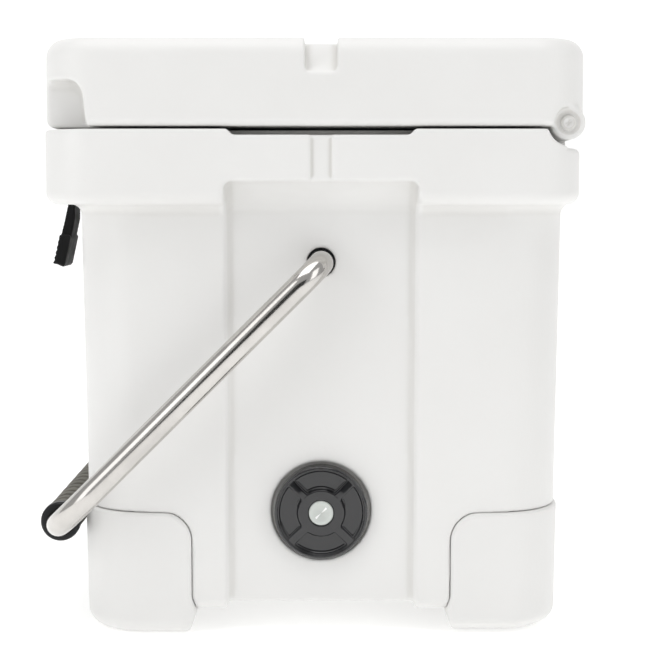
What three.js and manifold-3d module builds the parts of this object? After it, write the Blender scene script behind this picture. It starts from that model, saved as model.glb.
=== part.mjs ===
// A hard-sided ice chest: double-walled body and lid filled with foam, a bail handle with a foam grip,
// two rubber latches, four corner feet and a screw-down drain. Millimetres, +Z up, z = 0 is the floor,
// +X is the drain end, -Y the latch side. The outline in plan is centred on the origin.
import * as THREE from "three";
import { mergeVertices } from "three/addons/utils/BufferGeometryUtils.js";
import Module from "manifold-3d";

const wasm = await Module();
wasm.setup();

// ---- Overall sizes and general clearances
const LENGTH = 476; // lid and collar, end to end
const DEPTH = 355; // lid, front to back
const HEIGHT = 398; // floor to the top of the lid
const CLEAR = 0.3; // between pieces that touch
const WALL = 4; // moulded skin
const CORNER_STEPS = 5; // facets in a quarter turn of plan corner
const ROUND_STEPS = 20; // facets round a bored hole or a rod

// ---- Body
const LID_HEIGHT = 57.6;
const RIM_GAP = 1.9; // between rim and lid
const LID_Z = HEIGHT - LID_HEIGHT;
const RIM_Z = LID_Z - RIM_GAP;
const COLLAR_Z = RIM_Z - 48.7; // underside of the collar
const BASE_Z = 16.8; // underside of the body
const CHANNEL_RISE = 4.8; // channel along the underside
const DRAFT = 4; // the body narrows by this much per side from the collar down
const FLOOR_Z = 54; // compartment floor
const SIDE_WALL = 43; // body wall, front and back
const END_WALL = 63; // collar end to compartment
const BODY = { x: LENGTH / 2 - 19.5, y0: 13.4 - DEPTH / 2, y1: DEPTH / 2 - 13.4, r: 42 };
const COLLAR = { x: LENGTH / 2, y0: -DEPTH / 2 - 5.3, y1: DEPTH / 2 - 5.9, r: 34 };
const LID = { x: LENGTH / 2, y0: -DEPTH / 2 - 4.1, y1: DEPTH / 2 - 4.1, r: 34 };
const ROOM = { x: LENGTH / 2 - END_WALL, y0: BODY.y0 + SIDE_WALL, y1: BODY.y1 - SIDE_WALL, r: 24 };
const RECESS_HALF = 63; // half width of the sunk panel in each end
const RECESS_DEPTH = 5;
const RECESS_X = BODY.x - RECESS_DEPTH; // the sunk panel at its top
const COVE_Z = RIM_Z - 33.6; // where the recess runs out under the collar
const FILL_R = 10; // foam filling hole, closed by a plug

// ---- Feet
const FOOT_HEIGHT = 83.9;
const FOOT_REACH = 74; // from the corner along each wall
const FOOT_PROUD = 2;
const FOOT_REBATE = 4; // how far the body steps in behind a foot
const SCREW_R = 2.4;
const SCREW_HEAD_R = 5;

// ---- Hinge
const ROD_R = 3.2;
const KNUCKLE_R = 11.2;
const HINGE_Y = LID.y1 - 12.8;
const HINGE_Z = LID_Z + 2.4;
const HINGE_CUT_R = 13; // in the lid, round a body knuckle
const HINGE_RECESS_R = 15; // in the body, round a lid knuckle
const SHOULDER_Z = HINGE_Z - HINGE_RECESS_R - 1.2; // the body's top edge behind the hinge
const HINGE_END = LENGTH / 2 - 10;
const KNUCKLE_SPLITS = [0.126 * LENGTH, 0.403 * LENGTH]; // lid inside, body between, lid outside

// ---- Latches
const LATCH_X = 0.294 * LENGTH;
const LATCH_WIDTH = 24;
const LATCH_POCKET = 30;
const LATCH_THICK = 7;
const LATCH_PIN_R = 3;
const LATCH_EYE_R = 7.5;
const LATCH_Y = LID.y0 + 9.6; // the pin
const LATCH_Z = HEIGHT - 37.5;
const LATCH_TAB_WIDTH = 34;
const LATCH_FLARE = 8.9; // how far the pull tab's tip stands out in front of the strap

// ---- Handle
const TUBE_R = 8;
const TUBE_WALL = 1.5;
const STUB_BEND = 20;
const ELBOW = 41;
const GRIP_R = 12.5;
const GRIP_CAP_R = 13.4;
const GRIP_CAP_LENGTH = 7;
const RIB_PITCH = 12.4;
const PIVOT_Z = RIM_Z - 86.8;
const ARM_X = LENGTH / 2 + 2 + TUBE_R; // arms run 2 mm clear of the collar
const STUB_END_X = RECESS_X - 17.5;
const BUSH_WALL = 1;
const LID_ROUND = 11.5; // top edge of the lid
const SWING_GAP = 7.5; // grip to the lid's front top edge as the handle swings over
const REACH =
  Math.hypot(-LID.y0 - LID_ROUND, HEIGHT - PIVOT_Z - LID_ROUND) + LID_ROUND + GRIP_CAP_R + SWING_GAP;
const REST_Y = BODY.y0 + 3.2 - FOOT_PROUD - GRIP_R - 1.2; // grip against the front feet
const ARM_DOWN = Math.acos(-REST_Y / REACH); // slope of the resting arms

// ---- Drain
const DRAIN_Z = 84.1;
const DRAIN_SEAT_X = RECESS_X - 7.5; // spot face in the sunk panel
const DRAIN_SEAT_R = 33.6;
const KNOB_R = 31.3;
const BORE_R = 9; // through the bushing
const BUSH_R = 13;
const CORE_R = BORE_R - 0.4;

// ---- Helpers
const mirrorX = new THREE.Matrix4().makeScale(-1, 1, 1);

// A closed surface through rings of equal count. Open runs get a flat cap on each end ring.
function skin(rings, closed = false) {
  const n = rings[0].length;
  const points = rings.flat();
  const index = [];
  const turns = closed ? rings.length : rings.length - 1;
  for (let i = 0; i < turns; i++) {
    const a = i * n;
    const b = ((i + 1) % rings.length) * n;
    for (let j = 0; j < n; j++) {
      const k = (j + 1) % n;
      index.push(a + j, a + k, b + k, a + j, b + k, b + j);
    }
  }
  if (!closed) {
    const last = (rings.length - 1) * n;
    for (const [p, q, r] of capFaces(rings[0])) index.push(r, q, p);
    for (const [p, q, r] of capFaces(rings[rings.length - 1])) index.push(last + p, last + q, last + r);
  }
  let volume = 0;
  for (let i = 0; i < index.length; i += 3) {
    const [a, b, c] = [points[index[i]], points[index[i + 1]], points[index[i + 2]]];
    volume += a.clone().cross(b).dot(c);
  }
  if (volume < 0) index.reverse();
  const geometry = new THREE.BufferGeometry().setFromPoints(points);
  geometry.setIndex(index);
  return geometry;
}

// Triangles across a flat ring, listed by place in the ring and turning the same way as it does.
function capFaces(ring) {
  const normal = new THREE.Vector3();
  ring.forEach((p, i) => normal.add(p.clone().cross(ring[(i + 1) % ring.length])));
  const turn = new THREE.Quaternion().setFromUnitVectors(normal.normalize(), new THREE.Vector3(0, 0, 1));
  const flat = ring.map((p) => p.clone().applyQuaternion(turn)).map((p) => new THREE.Vector2(p.x, p.y));
  return THREE.ShapeUtils.triangulateShape(flat, []);
}

// A three.js geometry as a solid that can be added to, cut or crossed with others.
function solid(geometry) {
  const bare = new THREE.BufferGeometry().setAttribute("position", geometry.getAttribute("position"));
  if (geometry.index) bare.setIndex(geometry.index);
  const merged = mergeVertices(bare, 1e-4);
  const mesh = { numProp: 3, vertProperties: merged.attributes.position.array };
  return new wasm.Manifold(new wasm.Mesh({ ...mesh, triVerts: new Uint32Array(merged.index.array) }));
}

function geometryOf(shape) {
  const mesh = shape.getMesh();
  const geometry = new THREE.BufferGeometry();
  geometry.setAttribute("position", new THREE.BufferAttribute(mesh.vertProperties, 3));
  geometry.setIndex(new THREE.BufferAttribute(mesh.triVerts, 1));
  return geometry;
}

const join = (shapes) => shapes.reduce((a, b) => a.add(b));
const cut = (shape, tools) => tools.reduce((a, b) => a.subtract(b), shape);
const flipX = (geometry) => skinFlip(geometry.clone().applyMatrix4(mirrorX));
const bothEnds = (geometry) => [solid(geometry), solid(flipX(geometry))];

// Mirroring turns faces round, so their order is put back.
function skinFlip(geometry) {
  const index = geometry.index.array;
  for (let i = 0; i < index.length; i += 3) [index[i], index[i + 1]] = [index[i + 1], index[i]];
  return geometry;
}

// A ring round a plan outline { x, y0, y1, r }, taken in by `inset`.
function planRing(plan, z, inset) {
  const r = Math.max(plan.r - inset, 1);
  const x = plan.x - inset - r;
  const corners = [
    [x, plan.y1 - inset - r],
    [-x, plan.y1 - inset - r],
    [-x, plan.y0 + inset + r],
    [x, plan.y0 + inset + r],
  ];
  return corners.flatMap(([cx, cy], quarter) =>
    Array.from({ length: CORNER_STEPS + 1 }, (_, i) => {
      const a = ((quarter + i / CORNER_STEPS) * Math.PI) / 2;
      return new THREE.Vector3(cx + r * Math.cos(a), cy + r * Math.sin(a), z);
    }),
  );
}

// Levels are [z, inset], going up.
const tower = (plan, levels) => solid(skin(levels.map(([z, inset]) => planRing(plan, z, inset))));

const prism = (outline, place, from, to) =>
  skin([outline.map(([u, v]) => place(from, u, v)), outline.map(([u, v]) => place(to, u, v))]);
const prismX = (outline, from, to) => prism(outline, (x, y, z) => new THREE.Vector3(x, y, z), from, to);
const prismY = (outline, from, to) => prism(outline, (y, x, z) => new THREE.Vector3(x, y, z), from, to);
const box = (x0, x1, y0, y1, z0, z1) => prismX([[y0, z0], [y1, z0], [y1, z1], [y0, z1]], x0, x1);

// Points on an arc from angle a to angle b, degrees.
const arc = (cu, cv, r, a, b, steps = 6, rv = r) =>
  Array.from({ length: steps + 1 }, (_, i) => {
    const t = THREE.MathUtils.degToRad(a + ((b - a) * i) / steps);
    return [cu + r * Math.cos(t), cv + rv * Math.sin(t)];
  });

// A turned shape whose axis runs along +X from (0, y, z). The profile is [radius, x] pairs.
function turnedX(profile, y, z, steps = ROUND_STEPS) {
  const closed = profile[0][0] > 0;
  const points = profile.map(([r, x]) => new THREE.Vector2(r, x));
  if (closed) points.push(points[0].clone());
  const geometry = new THREE.LatheGeometry(points, steps);
  const bare = new THREE.BufferGeometry().setAttribute("position", geometry.getAttribute("position"));
  bare.setIndex(geometry.index);
  bare.rotateZ(-Math.PI / 2).translate(0, y, z);
  return outward(mergeVertices(dropSlivers(bare), 1e-4));
}

// Lathe poles leave faces of no area behind.
function dropSlivers(geometry) {
  const merged = mergeVertices(geometry, 1e-4);
  const source = merged.index.array;
  const kept = [];
  for (let i = 0; i < source.length; i += 3) {
    const [a, b, c] = [source[i], source[i + 1], source[i + 2]];
    if (a !== b && b !== c && c !== a) kept.push(a, b, c);
  }
  merged.setIndex(kept);
  return merged;
}

// Turns a closed surface's faces outwards.
function outward(geometry) {
  const p = geometry.getAttribute("position");
  const index = geometry.index.array;
  const corner = (i) => new THREE.Vector3().fromBufferAttribute(p, index[i]);
  let volume = 0;
  for (let i = 0; i < index.length; i += 3) volume += corner(i).cross(corner(i + 1)).dot(corner(i + 2));
  if (volume < 0) geometry.setIndex(Array.from(index).reverse());
  return geometry;
}

const rodX = (r, x0, x1, y, z, r1 = r, steps = ROUND_STEPS) =>
  turnedX([[0, x0], [r, x0], [r1, x1], [0, x1]], y, z, steps);
const ringX = (inner, outer, x0, x1, y, z) =>
  turnedX([[inner, x0], [outer, x0], [outer, x1], [inner, x1]], y, z);
const turnedZ = (profile, x, y, steps = 16) =>
  outward(turnedX(profile, 0, 0, steps).clone().rotateY(-Math.PI / 2).translate(x, y, 0));

// ---- Groups. What moves together is one group; a turning group's origin is its pivot.
function group(parent, x, y, z) {
  const made = new THREE.Group();
  made.position.set(x, y, z);
  parent.add(made);
  return made;
}
const root = new THREE.Group();
root.name = "ice_chest";
const strapFront = -LATCH_THICK - 1; // from the pin
const frontY = Math.min(REST_Y - GRIP_CAP_R, LATCH_Y + strapFront - LATCH_FLARE);
const backY = Math.max(LID.y1, HINGE_Y + KNUCKLE_R);
const chest = group(root, 0, -(frontY + backY) / 2, 0);
const lid = group(chest, 0, 0, 0);
const handle = group(chest, 0, 0, PIVOT_Z);
handle.rotation.x = ARM_DOWN;
const drain = group(chest, 0, 0, DRAIN_Z);

function piece(parent, name, shape, look, z = 0) {
  const geometry = shape.isBufferGeometry ? shape.clone() : geometryOf(shape);
  geometry.computeVertexNormals();
  const mesh = new THREE.Mesh(geometry, new THREE.MeshStandardMaterial(look));
  mesh.name = name;
  mesh.position.z = z;
  parent.add(mesh);
}

const SHELL = { color: 0xe9e8e4, roughness: 0.42, metalness: 0 };
const FOAM = { color: 0xe8dcb4, roughness: 0.9, metalness: 0 };
const STEEL = { color: 0xc9ccd0, roughness: 0.18, metalness: 1 };
const BLACK = { color: 0x1b1c1f, roughness: 0.4, metalness: 0 };
const RUBBER = { color: 0x1c1c1d, roughness: 0.75, metalness: 0 };
const GRIP = { color: 0x55534a, roughness: 0.9, metalness: 0 };
const GREY = { color: 0xc4c8c4, roughness: 0.45, metalness: 0 };
const DARK = { color: 0x2a2b2e, roughness: 0.3, metalness: 0 };

// ---- Shared cutting shapes. `grow` moves every face outwards by that much.
const draftAt = (z) => (DRAFT * (COLLAR_Z - z)) / (COLLAR_Z - BASE_Z);

// The sunk panel in an end, running out in a cove under the collar.
function endRecess(grow) {
  const low = RECESS_X - DRAFT - grow;
  const top = COVE_Z + grow;
  const sweep = LENGTH / 2 - RECESS_X + grow;
  const cove = arc(LENGTH / 2, top - 22.3, sweep, 180, 90, 6, 22.3);
  const side = [[low, -5], ...cove, [LENGTH / 2 + 20, top], [LENGTH / 2 + 20, -5]];
  const half = RECESS_HALF + grow;
  const corner = arc(half - 5, top - 5, 5, 0, 90, 3);
  const left = corner.map(([y, z]) => [-y, z]).reverse();
  const front = [[half, -6], ...corner, ...left, [-half, -6]];
  const across = solid(prismY(side, -half, half));
  return across.intersect(solid(prismX(front, low - 1, LENGTH / 2 + 21)));
}

const mirrored = (shape) => solid(flipX(geometryOf(shape)));

// The part of space a foot takes at one corner. sy is -1 at the front and 1 at the back.
function footZone(sx, sy, grow) {
  const z = FOOT_HEIGHT + grow;
  const outline = (far) => {
    const inner = far - FOOT_REACH - grow;
    const outer = far + 20;
    const side = [[inner + 3, -2], [inner - 1.5, 15], [inner, 24]];
    const round = arc(inner + 19, z - 19, 19, 180, 90, 5);
    return [...side, ...round, [far, z + 1.2], [outer, z + 1.2], [outer, -2]];
  };
  const alongY = outline(BODY.y1 - 3).map(([u, v]) => [sy * u, v]);
  const alongX = outline(BODY.x - 3).map(([u, v]) => [sx * u, v]);
  const ends = [sx * (BODY.x - 120), sx * (BODY.x + 20)];
  const fromEnd = solid(prismX(alongY, Math.min(...ends), Math.max(...ends)));
  const sides = [sy * (BODY.y1 - 110), sy * (BODY.y1 + 20)];
  return fromEnd.intersect(solid(prismY(alongX, Math.min(...sides), Math.max(...sides))));
}

// The body behind the feet, stepped in by the rebate.
function footCore(grow) {
  const inset = FOOT_REBATE - grow;
  const z = BASE_Z + FOOT_REBATE - grow;
  return tower(BODY, [
    [z, DRAFT + inset + 5],
    [z + 5, draftAt(z + 5) + inset],
    [120, draftAt(120) + inset],
  ]);
}

const CORNERS = [
  ["front_left", -1, -1],
  ["front_right", 1, -1],
  ["back_left", -1, 1],
  ["back_right", 1, 1],
];
const screwX = BODY.x - 34;
const screwY = BODY.y1 - 34;

// Pocket in the lid and channel in the collar that one latch lies in.
const latchPocket = (x, grow) => {
  const half = LATCH_POCKET / 2 + grow;
  const back = LATCH_Y + LATCH_EYE_R + 1.2 + grow;
  const top = LATCH_Z + 14 + grow;
  const front = LID.y0 - 20;
  const low = LID_Z - 20;
  const outline = [[front, low], [back, low], [back, LATCH_Z + 4], [back - 5, top], [front, top]];
  return solid(prismX(outline, x - half, x + half));
};
const latchChannel = (x, grow) => {
  const half = LATCH_POCKET / 2 + grow;
  const back = LATCH_Y - 0.2 + grow;
  return solid(box(x - half, x + half, LID.y0 - 20, back, COLLAR_Z - 20, RIM_Z + 10));
};
const LATCHES = [
  ["left", -LATCH_X],
  ["right", LATCH_X],
];

// ---- Body shell and its foam
const bodyOuter = tower(BODY, [
  [BASE_Z, DRAFT + 6],
  [BASE_Z + 1.8, DRAFT + 2.4],
  [BASE_Z + 6, draftAt(BASE_Z + 6) + 0.3],
  [COLLAR_Z - 9, draftAt(COLLAR_Z - 9)],
  [COLLAR_Z - 4, -1],
  [COLLAR_Z - 1.2, -3.6],
  [COLLAR_Z, -8],
  [COLLAR_Z + 6, -8],
]).intersect(tower(COLLAR, [[0, 0], [COLLAR_Z + 20, 0]]));
const collarOuter = tower(COLLAR, [
  [COLLAR_Z, 8],
  [COLLAR_Z + 0.8, 4.6],
  [COLLAR_Z + 2.6, 2.1],
  [COLLAR_Z + 5.2, 0.6],
  [COLLAR_Z + 8, 0],
  [RIM_Z - 1.5, 0],
  [RIM_Z, 1.5],
]);
const room = (grow, top) =>
  tower(ROOM, [
    [FLOOR_Z - grow, 16 - grow],
    [FLOOR_Z + 2.5 - grow, 9.5 - grow],
    [FLOOR_Z + 9 - grow, 4 - grow],
    [FLOOR_Z + 16, 3 - grow],
    [top, -grow],
  ]);

const hingeSpan = (x0, x1, r) => solid(rodX(r, x0, x1, HINGE_Y, HINGE_Z));
const [splitA, splitB] = KNUCKLE_SPLITS;
const hingeRecess = [
  hingeSpan(-LENGTH, LENGTH, HINGE_RECESS_R),
  solid(box(-LENGTH, LENGTH, HINGE_Y, HINGE_Y + 60, SHOULDER_Z, HINGE_Z + 40)),
];
const bodyKnuckles = [-1, 1].flatMap((side) => {
  const span = [side * (splitA + CLEAR), side * (splitB - CLEAR)].sort((a, b) => a - b);
  const web = box(...span, HINGE_Y - 8, HINGE_Y + 4.4, SHOULDER_Z - 3, HINGE_Z);
  return [hingeSpan(...span, KNUCKLE_R), solid(web)];
});
const rodBore = hingeSpan(-LENGTH, LENGTH, ROD_R + CLEAR);

const sleeveR = TUBE_R + CLEAR + BUSH_WALL; // outside of a handle bushing
const handleBore = (grow) =>
  rodX(sleeveR + CLEAR + grow, STUB_END_X - 3 - grow, RECESS_X + 12, 0, PIVOT_Z);
const drainBore = (grow) => solid(rodX(BUSH_R + CLEAR + grow, ROOM.x - 20, LENGTH / 2, 0, DRAIN_Z));
const drainSeat = (grow) => solid(rodX(DRAIN_SEAT_R + grow, DRAIN_SEAT_X - grow, LENGTH / 2, 0, DRAIN_Z));

function bodyFoam(gap) {
  const g = WALL + gap;
  const low = BASE_Z + CHANNEL_RISE + g;
  const top = RIM_Z - 4 - g;
  const lower = tower(BODY, [
    [low, DRAFT + g + 5],
    [low + 5, draftAt(low + 5) + g],
    [COLLAR_Z + 20, g],
  ]);
  const upper = tower(COLLAR, [
    [COLLAR_Z + 5 + g, g + 5],
    [COLLAR_Z + 10 + g, g],
    [top, g],
  ]);
  const cornerSteps = CORNERS.map(([, sx, sy]) => footZone(sx, sy, g).subtract(footCore(-g)));
  const hingeBlock = box(-LENGTH, LENGTH, HINGE_Y - HINGE_RECESS_R - g, HINGE_Y + 60, SHOULDER_Z - g, HEIGHT);
  return cut(lower.add(upper), [
    room(g, RIM_Z + 10),
    endRecess(g),
    mirrored(endRecess(g)),
    ...cornerSteps,
    solid(hingeBlock),
    ...LATCHES.map(([, x]) => latchChannel(x, g)),
    ...bothEnds(handleBore(g)),
    drainBore(g),
    drainSeat(g),
  ]);
}

// Shallow features of the body's ends: the relief in the rim and the strap groove in the collar.
const rimRelief = prismX(
  [[-62, RIM_Z + 1], [-57, RIM_Z - 3.9], [57, RIM_Z - 3.9], [62, RIM_Z + 1]],
  LENGTH / 2 - 24,
  LENGTH / 2 + 2,
);
const strapGroove = box(LENGTH / 2 - 2.4, LENGTH / 2 + 2, -7.5, 7.5, COLLAR_Z + 12, RIM_Z - 3.8);
const underChannel = prismX(
  [[-66, BASE_Z - 1], [-60, BASE_Z + CHANNEL_RISE], [60, BASE_Z + CHANNEL_RISE], [66, BASE_Z - 1]],
  -LENGTH,
  LENGTH,
);
const fillHole = (z0, z1) => solid(turnedZ([[0, z0], [FILL_R, z0], [FILL_R, z1], [0, z1]], 0, 0));
const screwHole = (sx, sy) => {
  const profile = [[0, -1], [SCREW_R + CLEAR, -1], [SCREW_R + CLEAR, BASE_Z + 16], [0, BASE_Z + 16]];
  return solid(turnedZ(profile, sx * screwX, sy * screwY));
};

const bodyShell = cut(join([bodyOuter, collarOuter]), [
  room(0, RIM_Z + 1),
  endRecess(0),
  mirrored(endRecess(0)),
  ...CORNERS.map(([, sx, sy]) => footZone(sx, sy, CLEAR).subtract(footCore(0))),
  ...LATCHES.map(([, x]) => latchChannel(x, 0)),
  ...hingeRecess,
  ...bothEnds(rimRelief),
  ...bothEnds(strapGroove),
  solid(underChannel),
])
  .add(join(bodyKnuckles))
  .subtract(
    join([
      bodyFoam(0),
      rodBore,
      drainBore(0),
      drainSeat(0),
      solid(rodX(17.5, ROOM.x - 30, ROOM.x - 2.4, 0, DRAIN_Z)),
      ...bothEnds(handleBore(0)),
      fillHole(BASE_Z, FLOOR_Z - 10),
      ...CORNERS.map(([, sx, sy]) => screwHole(sx, sy)),
    ]),
  );
piece(chest, "body_shell", bodyShell, SHELL);
const bodyCore = cut(bodyFoam(CLEAR), CORNERS.map(([, sx, sy]) => screwHole(sx, sy)));
piece(chest, "body_foam_core", bodyCore, FOAM);

// A stopper for a filling hole: a thin flange below z = 0 and a stem going up into the skin.
const stem = WALL - 0.4;
const flange = [[0, -1.6], [FILL_R + 2.4, -1.6], [FILL_R + 3, -CLEAR], [FILL_R - CLEAR, -CLEAR]];
const stopper = turnedZ([...flange, [FILL_R - CLEAR, stem], [0, stem]], 0, 0);
piece(chest, "body_fill_plug", stopper, SHELL, BASE_Z + CHANNEL_RISE);

// ---- Feet
const footOuter = tower(BODY, [
  [0, DRAFT + 10.5],
  [1.6, DRAFT + 5.6],
  [4.4, DRAFT + 2],
  [8.6, DRAFT - 0.4],
  [13, DRAFT - FOOT_PROUD],
  [FOOT_HEIGHT - 1.5, draftAt(FOOT_HEIGHT) - FOOT_PROUD],
  [FOOT_HEIGHT, draftAt(FOOT_HEIGHT) - FOOT_PROUD + 0.8],
  [FOOT_HEIGHT + 6, draftAt(FOOT_HEIGHT) - FOOT_PROUD + 0.8],
]);
const heelY = BODY.y1 - 27;
const heelCurve = [[heelY - 3, -1], [heelY, 0], ...arc(heelY, 22, 27, -75, -25, 4, 22)];
const heel = prismX([...heelCurve, [heelY + 36, 14], [heelY + 36, -1]], -LENGTH, LENGTH);
for (const [where, sx, sy] of CORNERS) {
  const counterbore = [[0, -1], [SCREW_HEAD_R + 0.6, -1], [SCREW_HEAD_R + 0.6, 6], [0, 6]];
  const tools = [
    footCore(CLEAR),
    screwHole(sx, sy),
    solid(turnedZ(counterbore, sx * screwX, sy * screwY)),
    ...(sy > 0 ? [solid(heel)] : []),
  ];
  piece(chest, "foot_" + where, cut(footOuter.intersect(footZone(sx, sy, 0)), tools), SHELL);
  const head = [[0, 3], [SCREW_HEAD_R * 0.7, 2.6], [SCREW_HEAD_R, 4.2], [SCREW_HEAD_R, 5.7]];
  const shank = [[SCREW_R, 5.7], [SCREW_R, BASE_Z + 10], [0.6, BASE_Z + 14], [0, BASE_Z + 14]];
  piece(chest, "foot_screw_" + where, turnedZ([...head, ...shank], sx * screwX, sy * screwY, 12), STEEL);
}

// ---- Lid
const lidOuter = tower(LID, [
  [LID_Z, 4.5],
  [LID_Z + 1.3, 1.3],
  [LID_Z + 5, 0],
  [HEIGHT - LID_ROUND, 0],
  [HEIGHT - 7.4, 0.8],
  [HEIGHT - 3.4, 3.4],
  [HEIGHT - 0.9, 7.2],
  [HEIGHT, LID_ROUND],
]);
const lidPanel = tower(ROOM, [
  [LID_Z - 12, 8],
  [LID_Z - 10.6, 5.8],
  [LID_Z + 4, 5],
]);
const lidKnuckles = [
  hingeSpan(-splitA, splitA, KNUCKLE_R),
  ...bothEnds(rodX(KNUCKLE_R, splitB, HINGE_END, HINGE_Y, HINGE_Z)),
];
const reliefTop = HINGE_Z + HINGE_CUT_R - 1;
const knuckleRelief = [
  ...bothEnds(rodX(HINGE_CUT_R, splitA, splitB, HINGE_Y, HINGE_Z)),
  ...bothEnds(box(splitA, splitB, HINGE_Y, HINGE_Y + 40, LID_Z - 5, reliefTop)),
];
const DISH = 2; // sunk centre of an outer knuckle's end
const knuckleDish = bothEnds(rodX(7.2, HINGE_END - DISH, HINGE_END + 0.5, HINGE_Y, HINGE_Z, 9.2));

// Finger hold under a front corner of the lid.
function fingerHold(grow) {
  const inner = LID.y0 + 28.6 + grow;
  const top = LID_Z + 30.2 + grow;
  const round = arc(inner - 12, top - 12, 12, 0, 90, 5);
  const outline = [[LID.y0 - 20, LID_Z - 20], [inner + 3, LID_Z - 20], ...round, [LID.y0 - 20, top]];
  return prismX(outline, LENGTH / 2 - 26 - grow, LENGTH / 2 + 5);
}

// Notch for a tie-down strap in the top of an end, its floor rising inwards.
function strapNotch(grow) {
  const low = HEIGHT - 26.3 - grow;
  const outer = LENGTH / 2 + 5;
  const inner = LENGTH / 2 - 38 - 2 * grow;
  const outline = [[outer, low], [outer, HEIGHT + 5], [inner - 6, HEIGHT + 5], [inner, HEIGHT]];
  return prismY(outline, -11 - grow, 11 + grow);
}

function lidFoam(gap) {
  const g = WALL + gap;
  const upper = tower(LID, [
    [LID_Z + 8 + gap, g + 1],
    [HEIGHT - LID_ROUND, g],
    [HEIGHT - g - 3, g + 2.6],
    [HEIGHT - g, g + 8],
  ]);
  const lower = tower(ROOM, [
    [LID_Z - 12 + g, 8 + g],
    [LID_Z + 20, 5 + g],
  ]);
  return cut(upper.add(lower), [
    ...bothEnds(fingerHold(g)),
    ...bothEnds(strapNotch(g)),
    hingeSpan(-LENGTH, LENGTH, HINGE_CUT_R + g),
    ...LATCHES.map(([, x]) => latchPocket(x, g)),
  ]);
}

const gasketRing = (z0, z1, spread) =>
  tower(ROOM, [[z0, -13.6 - spread], [z1, -13.6 - spread]]).subtract(
    tower(ROOM, [[z0 - 1, spread - 6.4], [z1 + 1, spread - 6.4]]),
  );
const lidFill = turnedZ(
  [[0, LID_Z - 20], [FILL_R, LID_Z - 20], [FILL_R, LID_Z - 2], [0, LID_Z - 2]],
  0,
  0,
);
const pinHalf = LATCH_POCKET / 2 + WALL - 0.6;
const lidShell = cut(lidOuter.add(lidPanel), [
  ...bothEnds(fingerHold(0)),
  ...bothEnds(strapNotch(0)),
  ...knuckleRelief,
  ...LATCHES.map(([, x]) => latchPocket(x, 0)),
])
  .add(join(lidKnuckles))
  .subtract(
    join([
      lidFoam(0),
      gasketRing(LID_Z - 1, LID_Z + 3.3, CLEAR),
      rodBore,
      ...knuckleDish,
      ...LATCHES.map(([, x]) =>
        solid(rodX(LATCH_PIN_R + CLEAR, x - pinHalf - CLEAR, x + pinHalf + CLEAR, LATCH_Y, LATCH_Z)),
      ),
      solid(lidFill),
    ]),
  );
piece(lid, "lid_shell", lidShell, SHELL);
piece(lid, "lid_foam_core", lidFoam(CLEAR), FOAM);
piece(lid, "lid_fill_plug", stopper, SHELL, LID_Z - 12);
piece(lid, "lid_gasket", gasketRing(RIM_Z + CLEAR, LID_Z + 3, 0), RUBBER);

// The rod is held endways by a white cap pressed into each outer knuckle.
const rodEnd = HINGE_END - 9;
piece(chest, "hinge_rod", rodX(ROD_R, -rodEnd, rodEnd, HINGE_Y, HINGE_Z), STEEL);
const capBase = HINGE_END - DISH + CLEAR;
const capStem = [[0, rodEnd + 0.6], [ROD_R, rodEnd + 0.6], [ROD_R, capBase]];
const capHead = [[5.2, capBase], [4.6, capBase + 1.2], [0, capBase + 1.4]];
const hingeCap = turnedX([...capStem, ...capHead], HINGE_Y, HINGE_Z);
piece(lid, "hinge_cap_right", hingeCap, SHELL);
piece(lid, "hinge_cap_left", flipX(hingeCap), SHELL);

// ---- Latches: a rubber strap on a pin in the lid, its pull tab standing out under the collar
const strapBack = strapFront + LATCH_THICK;
const collarEdge = COLLAR_Z - LATCH_Z; // from the pin
const tip = strapFront - LATCH_FLARE;
const strapOutline = [
  [strapFront, 0],
  [strapFront, collarEdge + 2.6],
  [strapFront + 1.4, collarEdge - 0.6],
  [strapFront - 1.2, collarEdge - 12.1],
  [strapFront - 3.7, collarEdge - 21.8],
  [strapBack - 3.4, collarEdge - 22.4],
  [strapBack - 0.9, collarEdge - 10.7],
  [strapBack - 0.6, collarEdge],
  [strapBack, collarEdge + 3],
  [strapBack, 0],
];
const tabOutline = [
  [strapFront - 3.9, collarEdge - 21.4],
  [strapFront - 4.5, collarEdge - 23.7],
  [tip, collarEdge - 41.9],
  [tip + 7.3, collarEdge - 43.9],
  [tip + 8.5, collarEdge - 42.3],
  [strapBack - 3.2, collarEdge - 23.5],
  [strapBack - 4.2, collarEdge - 21.6],
];
const acrossX = (outline, width) => solid(prismX(outline, -width / 2, width / 2));
const eyeSpan = (r, width) => solid(rodX(r, -width / 2, width / 2, 0, 0));
const strap = acrossX(strapOutline, LATCH_WIDTH)
  .add(acrossX(tabOutline, LATCH_TAB_WIDTH))
  .add(eyeSpan(LATCH_EYE_R, LATCH_WIDTH))
  .subtract(eyeSpan(LATCH_PIN_R + CLEAR, LATCH_WIDTH + 2));
for (const [side, x] of LATCHES) {
  const latch = group(lid, x, LATCH_Y, LATCH_Z);
  piece(latch, "latch_strap_" + side, strap, RUBBER);
  piece(latch, "latch_pin_" + side, rodX(LATCH_PIN_R, -pinHalf, pinHalf, 0, 0, LATCH_PIN_R, 12), STEEL);
}

// ---- Handle: a bent tube whose stubs turn in the body's ends. Its arms run along -Y of its group.
const halfPath = [
  [STUB_END_X, 0],
  ...arc(ARM_X - STUB_BEND, STUB_BEND, STUB_BEND, -90, 0, 5),
  ...arc(ARM_X - ELBOW, REACH - ELBOW, ELBOW, 0, 90, 7),
];
const path = [...halfPath, ...halfPath.map(([x, s]) => [-x, s]).reverse()];
const centre = ([x, s]) => new THREE.Vector3(x, -s, 0);
const upright = new THREE.Vector3(0, 0, 1);

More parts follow.
